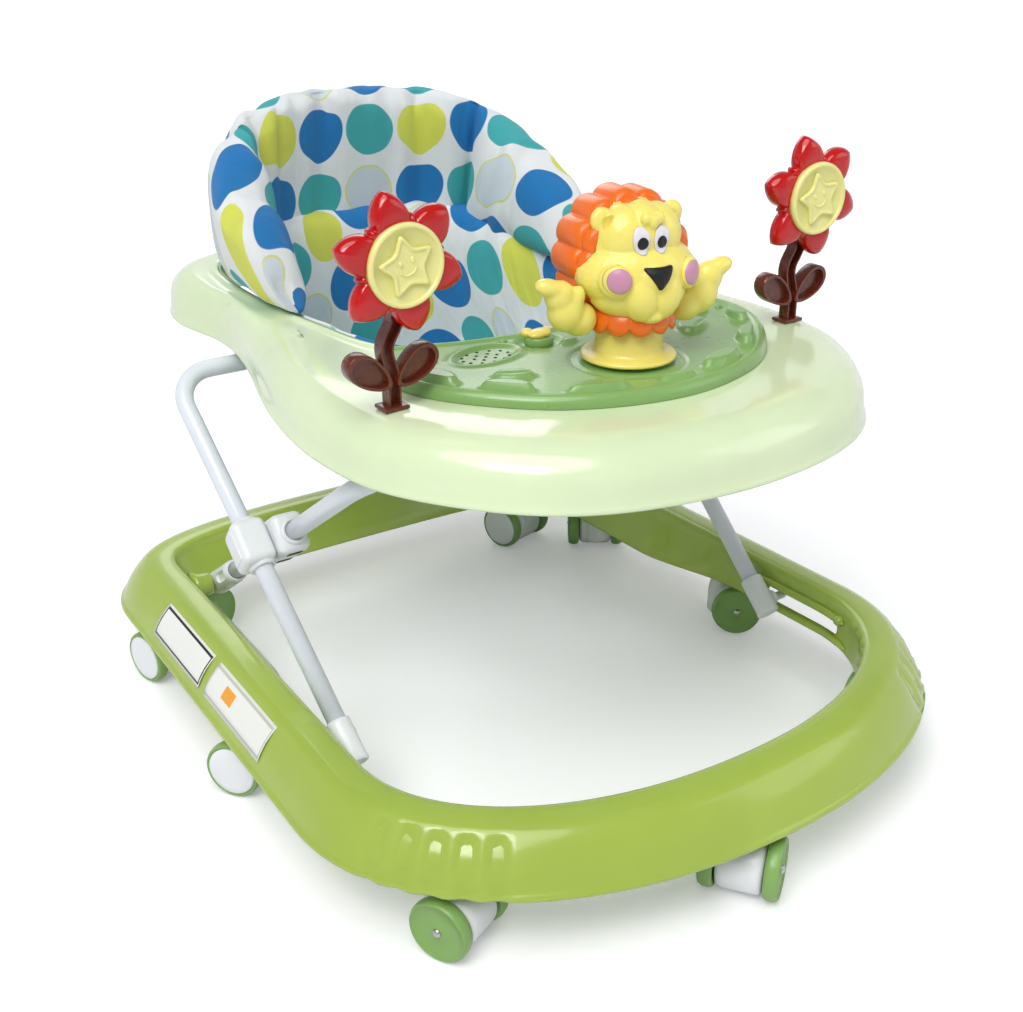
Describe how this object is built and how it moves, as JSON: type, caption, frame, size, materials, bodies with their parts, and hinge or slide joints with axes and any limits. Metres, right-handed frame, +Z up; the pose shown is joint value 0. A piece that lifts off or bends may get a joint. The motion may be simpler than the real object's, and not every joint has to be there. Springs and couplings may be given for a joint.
{
  "type": "baby walker",
  "caption": "Baby walker with a round-cornered base on swivel casters, a folding cross frame, a play tray with toys and a padded fabric seat.",
  "frame": {"origin": "on the floor, under the middle of the walker's bounding box", "axes": "+Z up; -Y is the front, with the play tray and toys; +Y is the rear, with the seat back; +X is the side at the left hand of a child who sits facing the tray's front"},
  "size_m": [0.606, 0.7493, 0.5209],
  "materials": {
    "lime_plastic": "glossy moulded",
    "wheel_plastic": "satin moulded",
    "white_plastic": "satin moulded",
    "painted_tube": "powder coated",
    "steel_pin": "plain",
    "mint_plastic": "glossy moulded",
    "panel_plastic": "glossy moulded",
    "yellow_plastic": "glossy moulded",
    "orange_plastic": "glossy moulded",
    "red_plastic": "glossy moulded",
    "brown_plastic": "glossy moulded",
    "dotted_fabric": "padded woven"
  },
  "bodies": {
    "base": {"base_ring": "lime_plastic"},
    "caster_front": {"caster_body_front": "white_plastic"},
    "wheels_front": {"caster_wheels_front": "wheel_plastic"},
    "caster_front_left": {"caster_body_front_left": "white_plastic"},
    "wheels_front_left": {"caster_wheels_front_left": "wheel_plastic"},
    "caster_front_right": {"caster_body_front_right": "white_plastic"},
    "wheels_front_right": {"caster_wheels_front_right": "wheel_plastic"},
    "caster_side_left": {"caster_body_side_left": "white_plastic"},
    "wheels_side_left": {"caster_wheels_side_left": "wheel_plastic"},
    "caster_side_right": {"caster_body_side_right": "white_plastic"},
    "wheels_side_right": {"caster_wheels_side_right": "wheel_plastic"},
    "caster_rear_left": {"caster_body_rear_left": "white_plastic"},
    "wheels_rear_left": {"caster_wheels_rear_left": "wheel_plastic"},
    "caster_rear_right": {"caster_body_rear_right": "white_plastic"},
    "wheels_rear_right": {"caster_wheels_rear_right": "wheel_plastic"},
    "caster_back_left": {"caster_body_back_left": "white_plastic"},
    "wheels_back_left": {"caster_wheels_back_left": "wheel_plastic"},
    "caster_back_right": {"caster_body_back_right": "white_plastic"},
    "wheels_back_right": {"caster_wheels_back_right": "wheel_plastic"},
    "inner_frame": {"inner_frame_tube": "painted_tube", "frame_sleeve_left": "white_plastic", "base_pivot_pin_left": "steel_pin", "inner_hub_left": "white_plastic", "hub_pin_left": "steel_pin", "frame_sleeve_right": "white_plastic", "base_pivot_pin_right": "steel_pin", "inner_hub_right": "white_plastic", "hub_pin_right": "steel_pin"},
    "outer_leg_left": {"outer_leg_left": "painted_tube", "foot_slider_left": "white_plastic", "outer_hub_left": "white_plastic"},
    "outer_leg_right": {"outer_leg_right": "painted_tube", "foot_slider_right": "white_plastic", "outer_hub_right": "white_plastic"},
    "tray": {"tray_shell": "mint_plastic", "height_rail_left": "mint_plastic", "height_rail_right": "mint_plastic", "sound_box": "panel_plastic", "battery_cover": "white_plastic", "toy_panel": "panel_plastic", "flower_stem_left": "brown_plastic", "flower_stem_right": "brown_plastic", "seat_sling": "dotted_fabric", "seat_back": "dotted_fabric"},
    "height_latch": {"height_latch": "white_plastic"},
    "bird_button": {"bird_button": "yellow_plastic"},
    "lion": {"lion_base": "yellow_plastic", "lion_collar": "orange_plastic", "lion_head": "yellow_plastic", "lion_mane": "orange_plastic", "lion_paw_left": "yellow_plastic", "lion_paw_right": "yellow_plastic"},
    "flower_head_left": {"flower_petals_left": "red_plastic", "flower_face_left": "yellow_plastic"},
    "flower_head_right": {"flower_petals_right": "red_plastic", "flower_face_right": "yellow_plastic"}
  },
  "joints": [
    {"name": "swivel_front", "type": "hinge", "parent": "base", "child": "caster_front", "pos_m": [0, -0.3285, 0.06], "axis": [0, 0, 1], "continuous": true},
    {"name": "roll_front", "type": "hinge", "parent": "caster_front", "child": "wheels_front", "pos_m": [-0.01294, -0.33791, 0.025], "axis": [0.5878, -0.809, 0], "continuous": true},
    {"name": "swivel_front_left", "type": "hinge", "parent": "base", "child": "caster_front_left", "pos_m": [-0.227, -0.25, 0.06], "axis": [0, 0, 1], "continuous": true},
    {"name": "roll_front_left", "type": "hinge", "parent": "caster_front_left", "child": "wheels_front_left", "pos_m": [-0.22024, -0.2645, 0.025], "axis": [0.9063, 0.4226, 0], "continuous": true},
    {"name": "swivel_front_right", "type": "hinge", "parent": "base", "child": "caster_front_right", "pos_m": [0.227, -0.25, 0.06], "axis": [0, 0, 1], "continuous": true},
    {"name": "roll_front_right", "type": "hinge", "parent": "caster_front_right", "child": "wheels_front_right", "pos_m": [0.24204, -0.24453, 0.025], "axis": [-0.342, 0.9397, 0], "continuous": true},
    {"name": "swivel_side_left", "type": "hinge", "parent": "base", "child": "caster_side_left", "pos_m": [-0.255, -0.0105, 0.06], "axis": [0, 0, 1], "continuous": true},
    {"name": "roll_side_left", "type": "hinge", "parent": "caster_side_left", "child": "wheels_side_left", "pos_m": [-0.26418, 0.00261, 0.025], "axis": [-0.8192, -0.5736, 0], "continuous": true},
    {"name": "swivel_side_right", "type": "hinge", "parent": "base", "child": "caster_side_right", "pos_m": [0.255, -0.0105, 0.06], "axis": [0, 0, 1], "continuous": true},
    {"name": "roll_side_right", "type": "hinge", "parent": "caster_side_right", "child": "wheels_side_right", "pos_m": [0.26726, -0.02079, 0.025], "axis": [0.6428, 0.766, 0], "continuous": true},
    {"name": "swivel_rear_left", "type": "hinge", "parent": "base", "child": "caster_rear_left", "pos_m": [-0.25, 0.196, 0.06], "axis": [0, 0, 1], "continuous": true},
    {"name": "roll_rear_left", "type": "hinge", "parent": "caster_rear_left", "child": "wheels_rear_left", "pos_m": [-0.25387, 0.21152, 0.025], "axis": [-0.9703, -0.2419, 0], "continuous": true},
    {"name": "swivel_rear_right", "type": "hinge", "parent": "base", "child": "caster_rear_right", "pos_m": [0.25, 0.196, 0.06], "axis": [0, 0, 1], "continuous": true},
    {"name": "roll_rear_right", "type": "hinge", "parent": "caster_rear_right", "child": "wheels_rear_right", "pos_m": [0.25895, 0.20927, 0.025], "axis": [-0.829, 0.5592, 0], "continuous": true},
    {"name": "swivel_back_left", "type": "hinge", "parent": "base", "child": "caster_back_left", "pos_m": [-0.185, 0.284, 0.06], "axis": [0, 0, 1], "continuous": true},
    {"name": "roll_back_left", "type": "hinge", "parent": "caster_back_left", "child": "wheels_back_left", "pos_m": [-0.1995, 0.27724, 0.025], "axis": [0.4226, -0.9063, 0], "continuous": true},
    {"name": "swivel_back_right", "type": "hinge", "parent": "base", "child": "caster_back_right", "pos_m": [0.185, 0.284, 0.06], "axis": [0, 0, 1], "continuous": true},
    {"name": "roll_back_right", "type": "hinge", "parent": "caster_back_right", "child": "wheels_back_right", "pos_m": [0.18941, 0.26862, 0.025], "axis": [0.9613, 0.2756, 0], "continuous": true},
    {"name": "fold", "type": "hinge", "parent": "base", "child": "inner_frame", "pos_m": [0, 0.198, 0.088], "axis": [1, 0, 0], "range_deg": [0, 18.5]},
    {"name": "leg_left", "type": "hinge", "parent": "inner_frame", "child": "outer_leg_left", "pos_m": [0, 0.043, 0.1954], "axis": [1, 0, 0], "range_deg": [-37.5, 0]},
    {"name": "leg_right", "type": "hinge", "parent": "inner_frame", "child": "outer_leg_right", "pos_m": [0, 0.043, 0.1954], "axis": [1, 0, 0], "range_deg": [-37.5, 0]},
    {"name": "tray_level", "type": "hinge", "parent": "outer_leg_left", "child": "tray", "pos_m": [0, 0.178, 0.308], "axis": [1, 0, 0], "range_deg": [0, 20.2]},
    {"name": "latch_pull", "type": "slide", "parent": "tray", "child": "height_latch", "axis": [0, -1, 0], "range_m": [0, 0.008], "stiffness_N_per_m": 400, "springref_m": -0.004},
    {"name": "button_press", "type": "slide", "parent": "tray", "child": "bird_button", "axis": [0, 0, -1], "range_m": [0, 0.003], "stiffness_N_per_m": 500, "springref_m": -0.001},
    {"name": "lion_turn", "type": "hinge", "parent": "tray", "child": "lion", "pos_m": [0, -0.1615, 0.376], "axis": [0, 0, 1], "continuous": true},
    {"name": "flower_spin_left", "type": "hinge", "parent": "tray", "child": "flower_head_left", "pos_m": [-0.186, -0.148, 0.47], "axis": [0, -1, 0], "continuous": true},
    {"name": "flower_spin_right", "type": "hinge", "parent": "tray", "child": "flower_head_right", "pos_m": [0.194, -0.148, 0.47], "axis": [0, -1, 0], "continuous": true}
  ],
  "couplings": [
    {"joint": "leg_left", "follows": "fold", "ratio": -2.025},
    {"joint": "leg_right", "follows": "fold", "ratio": -2.025},
    {"joint": "tray_level", "follows": "fold", "ratio": 1.09}
  ]
}
